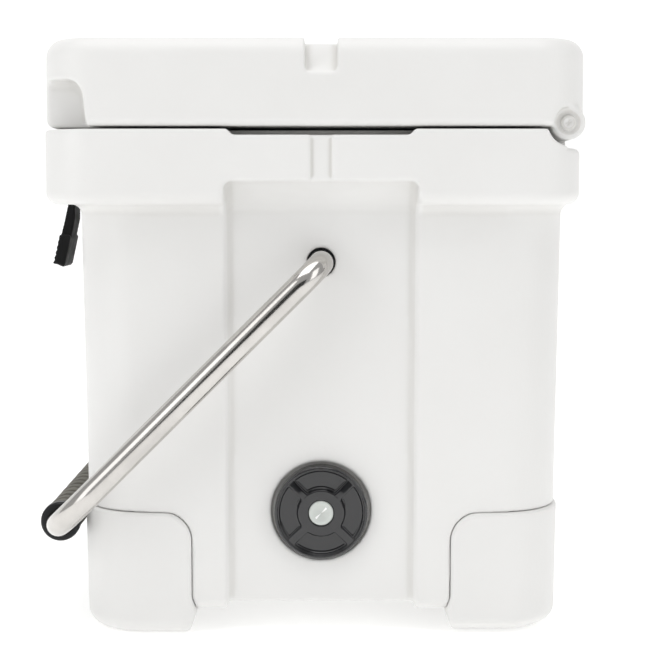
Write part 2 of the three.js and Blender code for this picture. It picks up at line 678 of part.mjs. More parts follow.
function tubeRing(i, r) {
  const before = centre(path[Math.max(i - 1, 0)]);
  const after = centre(path[Math.min(i + 1, path.length - 1)]);
  const tangent = after.sub(before).normalize();
  if (i === 0 || i === path.length - 1) tangent.set(i === 0 ? 1 : -1, 0, 0);
  const side = new THREE.Vector3().crossVectors(tangent, upright).normalize();
  return Array.from({ length: 12 }, (_, k) => {
    const a = (k / 12) * 2 * Math.PI;
    const rim = upright.clone().multiplyScalar(Math.cos(a)).addScaledVector(side, Math.sin(a));
    return centre(path[i]).addScaledVector(rim, r);
  });
}
const outerRings = path.map((_, i) => tubeRing(i, TUBE_R));
const innerRings = path.map((_, i) => tubeRing(i, TUBE_R - TUBE_WALL)).reverse();
piece(handle, "handle_tube", skin([...outerRings, ...innerRings], true), STEEL);

const capEnd = ARM_X - ELBOW;
const gripHalf = capEnd - GRIP_CAP_LENGTH - CLEAR;
const ribs = Math.round((2 * gripHalf) / RIB_PITCH);
const pitch = (2 * gripHalf) / ribs;
const ribProfile = Array.from({ length: ribs }, (_, i) => {
  const x = i * pitch - gripHalf;
  return [[GRIP_R - 1.3, x], [GRIP_R, x + pitch / 2]];
}).flat();
const sleeve = TUBE_R + CLEAR;
const gripProfile = [[sleeve, -gripHalf], ...ribProfile, [GRIP_R - 1.3, gripHalf], [sleeve, gripHalf]];
piece(handle, "handle_grip", turnedX(gripProfile, -REACH, 0, 14), GRIP);
const capProfile = [
  [sleeve, capEnd - GRIP_CAP_LENGTH],
  [GRIP_CAP_R - 0.5, capEnd - GRIP_CAP_LENGTH],
  [GRIP_CAP_R, capEnd - GRIP_CAP_LENGTH + 1],
  [GRIP_CAP_R, capEnd - 2],
  [GRIP_CAP_R - 2, capEnd],
  [sleeve, capEnd],
];
const gripCap = turnedX(capProfile, -REACH, 0, 14);
piece(handle, "grip_cap_right", gripCap, BLACK);
piece(handle, "grip_cap_left", flipX(gripCap), BLACK);
const bushing = ringX(sleeve, sleeveR, STUB_END_X - 1, RECESS_X - 1.2, 0, 0);
piece(chest, "handle_bushing_right", bushing, BLACK, PIVOT_Z);
piece(chest, "handle_bushing_left", flipX(bushing), BLACK, PIVOT_Z);

// ---- Drain: a bushing through the end wall, and a plug drawn out by its knob
const seat = DRAIN_SEAT_X;
const faceIn = ROOM.x - 2.4; // spot face inside the compartment
const bushingProfile = [
  [BORE_R, faceIn - 11],
  [BUSH_R, faceIn - 11],
  [BUSH_R, seat + CLEAR],
  [BUSH_R + 8, seat + CLEAR],
  [BUSH_R + 8, seat + 2.8],
  [BORE_R, seat + 2.8],
];
piece(drain, "drain_bushing", turnedX(bushingProfile, 0, 0), DARK);
piece(drain, "drain_washer", ringX(BUSH_R + CLEAR, 16.8, faceIn - 2.3, faceIn - CLEAR, 0, 0), RUBBER);
const nut = solid(rodX(16.9, faceIn - 9.6, faceIn - 2.6, 0, 0, 16.9, 6));
const nutBore = solid(rodX(BUSH_R + CLEAR, faceIn - 12, faceIn, 0, 0));
piece(drain, "drain_inner_nut", nut.subtract(nutBore), DARK);

const grooveX = seat - 24;
const coreProfile = [
  [0, grooveX - 4],
  [CORE_R - 1, grooveX - 4],
  [CORE_R, grooveX - 3],
  [CORE_R, grooveX],
  [CORE_R - 1.7, grooveX],
  [CORE_R - 1.7, grooveX + 2.4],
  [CORE_R, grooveX + 2.4],
  [CORE_R, seat + 3.2],
  [12, seat + 3.2],
  [12, seat + 5.2],
  [6, seat + 5.2],
  [6, seat + 9.8],
  [8.2, seat + 9.8],
  [8.2, seat + 12.3],
  [7.2, seat + 13],
  [0, seat + 13],
];
piece(drain, "plug_core", turnedX(coreProfile, 0, 0), GREY);
const oRing = arc(BORE_R - 1.05, grooveX + 1.2, 0.85, 0, 315, 7);
piece(drain, "plug_o_ring", turnedX(oRing, 0, 0), RUBBER);

const knobProfile = [
  [6.3, seat + 5.6],
  [26, seat + 5.6],
  [26, seat + 0.6],
  [KNOB_R, seat + 0.6],
  [KNOB_R, seat + 10.6],
  [KNOB_R - 1.2, seat + 12],
  [KNOB_R - 2.6, seat + 12],
  [KNOB_R - 4, seat + 8.8],
  [16.6, seat + 8.6],
  [15, seat + 12.2],
  [9.4, seat + 12.6],
  [8.6, seat + 12.2],
  [8.6, seat + 9.5],
  [6.3, seat + 9.5],
];
const spokes = [45, 135, 225, 315].map((degrees) => {
  const spoke = box(seat + 7.5, seat + 11.4, 14.4, KNOB_R - 2, -2.8, 2.8);
  return solid(spoke.rotateX(THREE.MathUtils.degToRad(degrees)));
});
piece(drain, "plug_knob", solid(turnedX(knobProfile, 0, 0, 28)).add(join(spokes)), DARK);

export default root;
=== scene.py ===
# Ice chest with a bail handle: fine meshes, materials, floor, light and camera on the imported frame.
# Shapes are written as distance functions in millimetres and turned into smooth closed meshes.
import math

import bpy
import numpy as np
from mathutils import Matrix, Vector


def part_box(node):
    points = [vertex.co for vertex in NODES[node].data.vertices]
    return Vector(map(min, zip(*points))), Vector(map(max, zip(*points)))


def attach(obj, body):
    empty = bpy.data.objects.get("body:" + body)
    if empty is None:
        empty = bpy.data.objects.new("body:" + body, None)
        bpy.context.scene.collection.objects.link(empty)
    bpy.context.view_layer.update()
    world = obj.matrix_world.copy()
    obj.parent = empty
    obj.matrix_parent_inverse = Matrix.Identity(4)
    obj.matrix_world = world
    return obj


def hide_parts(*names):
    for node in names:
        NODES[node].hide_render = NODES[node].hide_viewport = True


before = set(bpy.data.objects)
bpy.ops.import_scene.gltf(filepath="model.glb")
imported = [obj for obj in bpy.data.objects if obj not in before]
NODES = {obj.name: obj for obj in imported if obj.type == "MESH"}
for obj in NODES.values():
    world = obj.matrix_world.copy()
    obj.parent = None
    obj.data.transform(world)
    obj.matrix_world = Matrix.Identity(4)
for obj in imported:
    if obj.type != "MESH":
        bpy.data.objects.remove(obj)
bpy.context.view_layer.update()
MM = 0.001

# ---- Sizes in mm, in the frame's own axes: +X drain end, -Y latch side
def span_of(node, axis):
    """Lowest and highest value of a CAD node along an axis, in mm."""
    low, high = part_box(node)
    return low[axis] / MM, high[axis] / MM


def middle_of(node, axis):
    return sum(span_of(node, axis)) / 2


SHIFT = middle_of("handle_bushing_right", 1)  # the body's middle plane, along Y in the frame
RIGHT = span_of("lid_shell", 0)[1]
HEIGHT = span_of("lid_shell", 2)[1]
LID_Z = HEIGHT - 57.6
RIM_Z = LID_Z - 1.9
COLLAR_Z = RIM_Z - 48.7
COVE_Z = RIM_Z - 33.6  # where the sunk panel runs out under the collar
BASE_Z = span_of("body_shell", 2)[0]
FLOOR_Z = 54.0
HINGE_Y = middle_of("hinge_rod", 1) - SHIFT
HINGE_Z = middle_of("hinge_rod", 2)
SHOULDER_Z = HINGE_Z - 16.2
KNUCKLE_R = 11.2
KNUCKLE_IN, KNUCKLE_OUT, HINGE_END = 59.976, 191.828, 228.0
PIVOT_Z = middle_of("handle_bushing_right", 2)
DRAIN_Z = middle_of("drain_bushing", 2)
SEAT_X = 206.0
LATCH_X = middle_of("latch_pin_right", 0)
LATCH_Y = middle_of("latch_pin_right", 1) - SHIFT
LATCH_Z = middle_of("latch_pin_right", 2)
SCREW_X = middle_of("foot_screw_back_right", 0)
SCREW_Y = middle_of("foot_screw_back_right", 1) - SHIFT
BODY_X, BODY_Y = 218.5, 164.1
ROOM_X, ROOM_Y = 175.0, 121.1
FOOT_TOP, FOOT_X, FOOT_Y = 83.9, 141.5, 87.1
RECESS_HALF, CHANNEL_RISE = 63, 4.8
KNOB_R = 31.3


# ---- Distance functions
def both(a, b, r=0.0):
    """Where a and b overlap, their shared edge rounded to r."""
    if r <= 0:
        return np.maximum(a, b)
    u = np.maximum(a + r, 0)
    v = np.maximum(b + r, 0)
    return np.minimum(-r, np.maximum(a, b)) + np.sqrt(u * u + v * v)


def either(a, b, r=0.0):
    """a joined to b with a fillet of r."""
    if r <= 0:
        return np.minimum(a, b)
    u = np.maximum(r - a, 0)
    v = np.maximum(r - b, 0)
    return np.maximum(r, np.minimum(a, b)) - np.sqrt(u * u + v * v)


def without(a, b, r=0.0):
    return both(a, -b, r)


def rounded(x, y, half_x, half_y, r):
    """A rounded rectangle in plan."""
    qx = np.abs(x) - (half_x - r)
    qy = np.abs(y) - (half_y - r)
    outside = np.sqrt(np.maximum(qx, 0) ** 2 + np.maximum(qy, 0) ** 2)
    return outside + np.minimum(np.maximum(qx, qy), 0) - r


def bar(u, v, u0, v0, u1, v1):
    """Distance to a line from (u0, v0) to (u1, v1)."""
    du, dv = u1 - u0, v1 - v0
    t = np.clip(((u - u0) * du + (v - v0) * dv) / (du * du + dv * dv), 0, 1)
    return np.sqrt((u - u0 - t * du) ** 2 + (v - v0 - t * dv) ** 2)


def outline(u, v, corners):
    """Distance to a closed outline of straight edges, negative inside."""
    far, inside = np.inf, False
    for (u0, v0), (u1, v1) in zip(corners, corners[1:] + corners[:1]):
        far = np.minimum(far, bar(u, v, u0, v0, u1, v1))
        if v0 != v1:
            crossing = (v0 > v) != (v1 > v)
            inside = inside ^ (crossing & (u < u0 + (v - v0) / (v1 - v0) * (u1 - u0)))
    return np.where(inside, -far, far)


def draft(z):
    return 4 * np.clip((COLLAR_Z - z) / (COLLAR_Z - BASE_Z), 0, 1.05)


def body_plan(x, y, z):
    return rounded(x, y, BODY_X, BODY_Y, 42) + draft(z)


def foot_zone(x, y, z, grow):
    """The space the corner feet take, all four at once."""
    ax, ay = np.abs(x), np.abs(y)
    flare = np.interp(z, [0, 4, 15, 26], [3.0, 0.5, -3.2, 0.0]) + 0 * z
    top = FOOT_TOP + 0.02 * (ay - 110)
    side_y = both(z - top, FOOT_Y + flare - ay, 19)
    side_x = both(z - top, FOOT_X + flare - ax, 19)
    return both(side_y, side_x, 1.0) - grow


def foot_core(x, y, z, grow):
    inset = 4 - grow
    return both(body_plan(x, y, z) + inset, BASE_Z + inset - z, 5)


def screw_holes(x, y, z):
    rho = np.sqrt((np.abs(x) - SCREW_X) ** 2 + (np.abs(y) - SCREW_Y) ** 2)
    return np.minimum(both(rho - 2.7, z - BASE_Z - 16), both(rho - 5.6, z - 6))


def hinge_radius(y, z):
    return np.sqrt((y - HINGE_Y) ** 2 + (z - HINGE_Z) ** 2)


def body_shape(x, y, z):
    y = y - SHIFT
    ax, ay = np.abs(x), np.abs(y)
    lower = both(both(body_plan(x, y, z), BASE_Z - z, 8), z - COLLAR_Z - 24)
    collar = both(rounded(x, y + 5.6, RIGHT, 177.2, 34), COLLAR_Z - z, 8)
    shape = either(lower, both(collar, z - RIM_Z, 1.8), 7)
    room = rounded(x, y, ROOM_X, ROOM_Y, 24) + 3 * np.clip((RIM_Z - z) / (RIM_Z - FLOOR_Z), 0, 1)
    shape = without(shape, both(room, FLOOR_Z - z, 15), 2.5)
    # The sunk panel in each end, with its cove under the collar
    cove_z = COVE_Z
    panel_x = 213.5 - 4 * np.clip((cove_z - 22.3 - z) / (cove_z - 17.3), 0, 1)
    recess = both(both(panel_x - ax, z - cove_z, 22), ay - RECESS_HALF, 5)
    shape = without(shape, recess, 2.2)
    shape = without(shape, both(ay - RECESS_HALF, z - BASE_Z - CHANNEL_RISE, 2), 2.5)
    # Relief in the rim and strap groove in the collar
    relief_z = RIM_Z - 3.9
    relief = both(both((ay - 57 - (z - relief_z)) * 0.707, relief_z - z, 0.8), 214 - ax, 2)
    shape = without(shape, relief, 0.7)
    groove = both(both(ay - 7, 235.4 - ax, 1.4), z - relief_z, 2)
    shape = without(shape, groove, 1.8)
    # Hinge side
    radius = hinge_radius(y, z)
    shape = without(shape, both(HINGE_Y - y, SHOULDER_Z - z), 4)
    shape = without(shape, radius - 15, 1.2)
    span = np.abs(ax - (KNUCKLE_IN + KNUCKLE_OUT) / 2) - (KNUCKLE_OUT - KNUCKLE_IN) / 2 + 0.4
    knuckle = both(radius - KNUCKLE_R, span, 1.2)
    web = both(both(np.abs(y - HINGE_Y + 1.8) - 6.2, z - HINGE_Z), both(span, SHOULDER_Z - 7 - z))
    shape = either(shape, np.minimum(knuckle, web), 1.5)
    shape = without(shape, radius - 3.5)
    # Latch channels down the collar's front
    channel = both(np.abs(ax - LATCH_X) - 15, y - LATCH_Y + 0.2, 2)
    shape = without(shape, both(channel, COLLAR_Z - 20 - z), 2)
    # Steps behind the feet, and screw holes
    step = both(foot_zone(x, y, z, 0.45), -foot_core(x, y, z, 0))
    shape = without(shape, step, 0.4)
    shape = without(shape, screw_holes(x, y, z))
    # Handle bores, drain seat and bore, filling hole
    bore = both(np.sqrt(y * y + (z - PIVOT_Z) ** 2) - 9.6, 193 - ax)
    shape = without(shape, bore, 0.9)
    rho = np.sqrt(y * y + (z - DRAIN_Z) ** 2)
    shape = without(shape, both(rho - 33.6, SEAT_X - x, 0.6), 0.9)
    shape = without(shape, both(rho - 13.3, 150 - x))
    shape = without(shape, both(rho - 17.5, np.abs(x - 158.6) - 14), 0.8)
    return without(shape, both(np.sqrt(x * x + y * y) - 10, z - FLOOR_Z + 10), 0.5)


def foot_shape(x, y, z):
    y = y - SHIFT
    plan = body_plan(x, y, z) - 2.1
    front = both(plan, -z, 12)
    back = both(plan * 0.55, -z, 12)
    outer = np.where(y < 0, front, back)
    shape = both(outer, foot_zone(x, y, z, 0), 1.6)
    shape = without(shape, foot_core(x, y, z, 0.4))
    return without(shape, screw_holes(x, y, z), 0.4)


def lid_shape(x, y, z):
    y = y - SHIFT
    ax = np.abs(x)
    plan = rounded(x, y + 4.1, RIGHT, 177.5, 34)
    shape = both(both(plan, z - HEIGHT, 12.5), LID_Z - z, 4.5)
    # A shallow raised field on top
    field = both(rounded(x, y + 4.1, 186, 143.5, 26), z - HEIGHT)
    shape = both(shape, either(z - (HEIGHT - 0.9), field, 1.2))
    room = rounded(x, y, ROOM_X, ROOM_Y, 24)
    panel = both(both(room + 5.3, LID_Z - 12 - z, 3), z - LID_Z - 6.3)
    shape = either(shape, panel, 2)
    # Finger holds under the front corners
    inner = -153 + np.interp(z, [LID_Z - 6, LID_Z + 20], [2.8, 0]) + 0 * z
    hold = both(both(y - inner, z - LID_Z - 30.2, 12), 212 - ax, 6)
    shape = without(shape, hold, 1.6)
    # Strap notch in each end, its floor a ramp
    ramp = (HEIGHT - 26.3 + (243 - ax) * 0.537 - z) * 0.88
    notch = both(ramp, np.abs(y) - 10.6, 3)
    shape = without(shape, notch, 1.3)
    # Hinge side
    radius = hinge_radius(y, z)
    between = np.abs(ax - (KNUCKLE_IN + KNUCKLE_OUT) / 2) - (KNUCKLE_OUT - KNUCKLE_IN) / 2
    open_back = both(HINGE_Y - y, z - HINGE_Z - 12)
    shape = without(shape, both(np.minimum(radius - 13, open_back), between), 0.8)
    end_middle, end_half = (KNUCKLE_OUT + HINGE_END) / 2, (HINGE_END - KNUCKLE_OUT) / 2
    spans = np.minimum(ax - KNUCKLE_IN + 0.1, np.abs(ax - end_middle) - end_half)
    shape = either(shape, both(radius - KNUCKLE_R, spans, 2.2), 1.5)
    dish = both(radius - 7.2 - (ax - 226) * 1.0, 226 - ax, 0.8)
    shape = without(shape, both(dish, radius - 10.4), 0.8)
    shape = without(shape, radius - 3.5)
    # Latch pockets and pin holes
    side = np.abs(ax - LATCH_X)
    back = LATCH_Y + np.interp(z, [LATCH_Z + 4, LATCH_Z + 14], [8.7, 3.7]) + 0 * z
    pocket = both(both(side - 15, y - back, 2), z - LATCH_Z - 14, 3)
    shape = without(shape, pocket, 1.5)
    pin = both(np.sqrt((y - LATCH_Y) ** 2 + (z - LATCH_Z) ** 2) - 3.3, side - 18.7)
    shape = without(shape, pin)
    # Gasket groove and filling hole
    shape = without(shape, both(np.abs(room - 10) - 4.3, z - LID_Z - 3.3, 0.5), 0.5)
    return without(shape, both(np.sqrt(x * x + y * y) - 10, z - LID_Z + 2), 0.4)


def gasket_shape(x, y, z):
    room = rounded(x, y - SHIFT, ROOM_X, ROOM_Y, 24)
    foot = both(np.abs(room - 10) - 3.6, np.abs(z - LID_Z - 1.2) - 1.7, 0.8)
    bulb = np.sqrt((room - 10) ** 2 + (z - LID_Z - 0.6) ** 2) - 2.2
    return either(foot, bulb, 0.6)


def latch_shape(x, y, z):
    """One strap about x = 0: u and v run along Y and Z from its pin."""
    ax = np.abs(x)
    u, v = y - SHIFT - LATCH_Y, z - LATCH_Z
    edge = COLLAR_Z - LATCH_Z
    front = [(-8, 0), (-8, edge + 2.6), (-6.6, edge - 0.6), (-9.2, edge - 12.1), (-11.7, edge - 21.8)]
    back = [(-4.4, edge - 22.4), (-1.9, edge - 10.7), (-1.6, edge), (-1, edge + 3), (-1, 0)]
    side = outline(u, v, front + back)
    eye = np.sqrt(u * u + v * v)
    shape = both(np.minimum(side, eye - 7.5), ax - 12, 1.3)
    # A shallow sunk field down the strap's face, then the pull tab with its finger ridges
    field = both(both(side + 1.0, ax - 7, 0.8), both(v + 12, edge - 16 - v))
    shape = without(shape, both(np.abs(side) - 1.0, field, 0.3), 0.5)
    tab = outline(u, v, [
        (-11.9, edge - 21.4), (-12.5, edge - 23.7), (-16.9, edge - 41.9), (-9.6, edge - 43.9),
        (-8.4, edge - 42.3), (-4.2, edge - 23.5), (-5.2, edge - 21.6),
    ])
    outer_face = np.clip(-(u + 11) / 3, 0, 1)
    ridges = 0.3 * (1 - np.cos(v * 2 * math.pi / 3.6)) * outer_face
    shape = either(shape, both(tab + ridges, ax - 17, 1.6), 0.8)
    return without(shape, eye - 3.3, 0.3)


def knob_shape(x, y, z):
    y = y - SHIFT
    z = z - DRAIN_Z
    depth = x - SEAT_X
    rho = np.sqrt(y * y + z * z)
    shape = both(both(rho - KNOB_R, depth - 12.2, 1.8), 0.6 - depth, 0.8)
    across = np.minimum(np.abs(y + z), np.abs(y - z)) * 0.707
    sector = both(both(15.6 - rho, rho - 28.3, 1.2), 8.2 + 0.02 * rho - depth, 2.2)
    sector = both(sector, 2.7 - across, 1.2)
    shape = without(shape, sector, 0.9)
    # The spokes fall away a little towards the rim
    fall = both(both(15.2 - rho, rho - 29.2, 0.6), 12.4 - (rho - 15) * 0.13 - depth)
    shape = without(shape, fall, 0.5)
    shape = without(shape, both(rho - 26, depth - 5.6), 0.5)
    shape = without(shape, rho - 6.3)
    return without(shape, both(rho - 8.6, 9.5 - depth, 0.3), 0.5)


# ---- Distance function to mesh
def lines(*runs):
    """Grid lines from (start, stop, step) runs laid end to end."""
    out = [np.linspace(a, b, max(int(round((b - a) / s)), 1) + 1)[:-1] for a, b, s in runs]
    return np.concatenate([*out, [runs[-1][1]]])


def mesh_of(shape, xs, ys, zs):
    """Closed quad mesh where shape is zero: one vertex per crossed cell, then moved onto the surface."""
    values = shape(xs[:, None, None], ys[None, :, None], zs[None, None, :])
    values = np.broadcast_to(values, (len(xs), len(ys), len(zs)))
    inside = values < 0
    axes = (xs, ys, zs)
    cells = np.array(values.shape) - 1
    total = int(np.prod(cells))
    sums = [np.zeros(total) for _ in range(3)]
    count = np.zeros(total)
    stride = np.array([cells[1] * cells[2], cells[2], 1])
    quads = []
    for axis in range(3):
        low = [slice(None)] * 3
        high = [slice(None)] * 3
        low[axis], high[axis] = slice(0, -1), slice(1, None)
        a, b = inside[tuple(low)], inside[tuple(high)]
        at = np.argwhere(a != b)
        if not len(at):
            continue
        va, vb = values[tuple(low)][tuple(at.T)], values[tuple(high)][tuple(at.T)]
        t = va / (va - vb)
        point = [axes[k][at[:, k]].astype(float) for k in range(3)]
        step = axes[axis][at[:, axis] + 1] - axes[axis][at[:, axis]]
        point[axis] = point[axis] + t * step
        others = [k for k in range(3) if k != axis]
        ids = []
        for du, dv in ((-1, -1), (0, -1), (0, 0), (-1, 0)):
            cell = at.copy()
            cell[:, others[0]] += du
            cell[:, others[1]] += dv
            cell = np.clip(cell, 0, cells - 1)
            flat = cell @ stride
            ids.append(flat)
            for k in range(3):
                sums[k] += np.bincount(flat, point[k], total)
            count += np.bincount(flat, minlength=total)
        quad = np.stack(ids, 1)
        turn = inside[tuple(low)][tuple(at.T)]
        if axis == 1:
            turn = ~turn
        quad[~turn] = quad[~turn][:, ::-1]
        quads.append(quad)
    used = np.flatnonzero(count)
    place = np.full(total, -1)
    place[used] = np.arange(len(used))
    points = np.stack([s[used] / count[used] for s in sums], 1)
    quads = place[np.concatenate(quads)]
    h = 0.02
    for _ in range(3):
        p = points.T
        d = shape(*p)
        grad = [
            (shape(*[p[j] + (h if j == k else 0) for j in range(3)])
             - shape(*[p[j] - (h if j == k else 0) for j in range(3)])) / (2 * h)
            for k in range(3)
        ]
        grad = np.stack(grad, 1)
        size = np.maximum((grad * grad).sum(1), 0.05)
        move = -grad * (d / size)[:, None]
        length = np.sqrt((move * move).sum(1))
        move *= np.minimum(1, 0.7 / np.maximum(length, 1e-9))[:, None]
        points = points + move
    return points, quads


def new_object(name, points, faces, node=None, body=None, more=()):
    """A smooth-shaded object from points in mm and faces of one size, riding on a CAD body."""
    points = np.asarray(points, float) * MM
    faces = np.asarray(faces)
    mesh = bpy.data.meshes.new(name)
    mesh.vertices.add(len(points))
    mesh.vertices.foreach_set("co", points.ravel())
    mesh.loops.add(faces.size)
    mesh.loops.foreach_set("vertex_index", faces.ravel().astype(np.int32))
    mesh.polygons.add(len(faces))
    starts = np.arange(0, faces.size, faces.shape[1], dtype=np.int32)
    mesh.polygons.foreach_set("loop_start", starts)
    mesh.update(calc_edges=True)
    mesh.validate()
    mesh.polygons.foreach_set("use_smooth", np.ones(len(mesh.polygons), bool))
    obj = bpy.data.objects.new(name, mesh)
    bpy.context.scene.collection.objects.link(obj)
    if node:
        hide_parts(node, *more)
    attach(obj, body)
    return obj


def floats(obj, name, values):
    layer = obj.data.attributes.new(name, "FLOAT", "POINT")
    layer.data.foreach_set("value", np.asarray(values, np.float32))


def turned(profile, steps, axis_y, axis_z):
    """Points and quads of a closed profile of (radius, x) turned about a line along X."""
    profile = np.asarray(profile, float)
    n = len(profile)
    a = np.arange(steps) / steps * 2 * math.pi
    x = np.broadcast_to(profile[None, :, 1], (steps, n))
    y = SHIFT + axis_y + profile[None, :, 0] * np.cos(a)[:, None]
    z = axis_z + profile[None, :, 0] * np.sin(a)[:, None]
    points = np.stack([x, y, z], -1).reshape(-1, 3)
    i, j = np.meshgrid(np.arange(steps), np.arange(n), indexing="ij")
    i2, j2 = (i + 1) % steps, (j + 1) % n
    quads = np.stack([i * n + j, i * n + j2, i2 * n + j2, i2 * n + j], -1).reshape(-1, 4)
    area = np.sum(profile[:, 0] * np.roll(profile[:, 1], -1) - np.roll(profile[:, 0], -1) * profile[:, 1])
    return points, quads if area > 0 else quads[:, ::-1]


def arc(cu, cv, r, a, b, n):
    t = np.radians(np.linspace(a, b, n))
    return [(cu + r * math.cos(k), cv + r * math.sin(k)) for k in t]


# ---- Materials
def material(name, base, roughness, metallic=0.0, **sockets):
    """A new material with its nodes, and the shader that the helpers below feed."""
    mat = bpy.data.materials.new(name)
    mat.use_nodes = True
    shader = mat.node_tree.nodes["Principled BSDF"]
    shader.inputs["Base Color"].default_value = (*base, 1)
    shader.inputs["Roughness"].default_value = roughness
    shader.inputs["Metallic"].default_value = metallic
    for key, value in sockets.items():
        shader.inputs[key.replace("_", " ")].default_value = value
    return mat, mat.node_tree, shader


def noise(tree, scale, detail=3.0, rough=0.5, stretch=None):
    """Noise over the object's own space; scale is per metre."""
    node = tree.nodes.new("ShaderNodeTexNoise")
    node.inputs["Scale"].default_value = scale
    node.inputs["Detail"].default_value = detail
    node.inputs["Roughness"].default_value = rough
    coords = tree.nodes.new("ShaderNodeTexCoord")
    if stretch:
        mapping = tree.nodes.new("ShaderNodeMapping")
        mapping.inputs["Scale"].default_value = stretch
        tree.links.new(coords.outputs["Object"], mapping.inputs["Vector"])
        tree.links.new(mapping.outputs["Vector"], node.inputs["Vector"])
    else:
        tree.links.new(coords.outputs["Object"], node.inputs["Vector"])
    return node.outputs["Fac"]


def cells(tree, scale):
    node = tree.nodes.new("ShaderNodeTexVoronoi")
    node.inputs["Scale"].default_value = scale
    coords = tree.nodes.new("ShaderNodeTexCoord")
    tree.links.new(coords.outputs["Object"], node.inputs["Vector"])
    return node.outputs["Distance"]


def ranged(tree, value, low, high, from_low=0.0, from_high=1.0):
    node = tree.nodes.new("ShaderNodeMapRange")
    node.inputs["From Min"].default_value = from_low
    node.inputs["From Max"].default_value = from_high
    node.inputs["To Min"].default_value = low
    node.inputs["To Max"].default_value = high
    tree.links.new(value, node.inputs["Value"])
    return node.outputs["Result"]


def mixed(tree, factor, a, b, mode="MIX"):
    """Colours a and b (tuples or sockets) mixed by factor."""
    node = tree.nodes.new("ShaderNodeMix")
    node.data_type = "RGBA"
    node.blend_type = mode
    if isinstance(factor, float):
        node.inputs[0].default_value = factor
    else:
        tree.links.new(factor, node.inputs[0])
    for socket, colour in ((node.inputs[6], a), (node.inputs[7], b)):
        if isinstance(colour, tuple):
            socket.default_value = (*colour, 1)
        else:
            tree.links.new(colour, socket)
    return node.outputs[2]


def bumped(tree, shader, layers):
    """Bump from (height, distance in mm) layers, one over the other."""
    normal = None
    for height, distance in layers:
        node = tree.nodes.new("ShaderNodeBump")
        node.inputs["Strength"].default_value = 1.0
        node.inputs["Distance"].default_value = distance * MM
        tree.links.new(height, node.inputs["Height"])
        if normal is not None:
            tree.links.new(normal, node.inputs["Normal"])
        normal = node.outputs["Normal"]
    tree.links.new(normal, shader.inputs["Normal"])


def edges(tree, low, high):
    """0 in creases, 1 on sharp edges, from the mesh's own shape: the mask for painted crease shade and
    painted edge highlights.
    """
    node = tree.nodes.new("ShaderNodeNewGeometry")
    return ranged(tree, node.outputs["Pointiness"], 0.0, 1.0, low, high)


def moulded_white(name, tint=1.0):
    mat, tree, shader = material(name, (0.83, 0.825, 0.81), 0.4, Specular_IOR_Level=0.42)
    cloud = ranged(tree, noise(tree, 9, 2), 0.0, 1.0, 0.3, 0.7)
    shade = (0.805 * tint, 0.80 * tint, 0.786 * tint)
    light = (0.828 * tint, 0.824 * tint, 0.812 * tint)
    base = mixed(tree, cloud, shade, light)
    # Painted shade: the white is darkened in creases and inner corners, found from the mesh's pointiness.
    crease_shade = edges(tree, 0.47, 0.50)
    base = mixed(tree, crease_shade, (0.70 * tint, 0.69 * tint, 0.665 * tint), base)
    tree.links.new(base, shader.inputs["Base Color"])
    rough = ranged(tree, noise(tree, 60, 4), 0.34, 0.50, 0.25, 0.75)
    tree.links.new(rough, shader.inputs["Roughness"])
    peel = noise(tree, 330, 2)
    pores = noise(tree, 1500, 2)
    bumped(tree, shader, [(noise(tree, 22, 1), 0.22), (peel, 0.07), (pores, 0.03)])
    return mat


def steel(name, low, high, grain=(1, 1, 1), tint=(0.66, 0.67, 0.69)):
    mat, tree, shader = material(name, tint, low, 1.0)
    streak = noise(tree, 900, 3, 0.6, grain)
    tree.links.new(ranged(tree, streak, low, high, 0.3, 0.7), shader.inputs["Roughness"])
    dull = tuple(c * 0.88 for c in tint)
    base = mixed(tree, ranged(tree, noise(tree, 45, 3), 0, 1, 0.35, 0.65), dull, tint)
    tree.links.new(base, shader.inputs["Base Color"])
    bumped(tree, shader, [(streak, 0.006)])
    return mat


def dark_plastic(name, base, low, high, stipple=0.03, scale=1400, coat=0.0, shine=0.5):
    looks = {"Coat_Weight": coat, "Coat_Roughness": 0.08, "Specular_IOR_Level": shine}
    mat, tree, shader = material(name, base, low, 0.0, **looks)
    rough = ranged(tree, noise(tree, 120, 4), low, high, 0.3, 0.7)
    tree.links.new(rough, shader.inputs["Roughness"])
    # Painted highlight: sharp edges are lightened towards a paler colour, found from the mesh's pointiness.
    edge_highlight = tuple(min(c * 1.9 + 0.007, 1) for c in base)
    colour = mixed(tree, edges(tree, 0.52, 0.60), base, edge_highlight)
    tree.links.new(colour, shader.inputs["Base Color"])
    bumped(tree, shader, [(noise(tree, scale, 2), stipple), (noise(tree, 90, 2), stipple * 2)])
    return mat


def foam_rubber(name, crown, groove):
    mat, tree, shader = material(name, crown, 0.9, 0.0, Sheen_Weight=0.15, Sheen_Roughness=0.6)
    depth = tree.nodes.new("ShaderNodeAttribute")
    depth.attribute_name = "groove"
    speckle = ranged(tree, noise(tree, 1100, 3, 0.7), 0.0, 1.0, 0.35, 0.65)
    cloud = ranged(tree, noise(tree, 55, 3), 0.0, 1.0, 0.3, 0.7)
    light = tuple(c * 1.35 for c in crown)
    base = mixed(tree, speckle, crown, light)
    base = mixed(tree, cloud, tuple(c * 0.82 for c in crown), base)
    # Painted shade: the bottom of each groove is darkened to the groove colour by the groove attribute.
    base = mixed(tree, depth.outputs["Fac"], base, groove)
    tree.links.new(base, shader.inputs["Base Color"])
    layers = [(noise(tree, 70, 3), 0.25), (cells(tree, 1300), 0.16), (noise(tree, 2600, 2), 0.06)]
    bumped(tree, shader, layers)
    return mat


def urethane(name):
    mat, tree, shader = material(name, (0.80, 0.72, 0.46), 0.85)
    base = mixed(tree, cells(tree, 700), (0.68, 0.60, 0.36), (0.83, 0.76, 0.51))
    tree.links.new(base, shader.inputs["Base Color"])
    bumped(tree, shader, [(cells(tree, 700), 0.4), (noise(tree, 60, 3), 0.6)])
    return mat


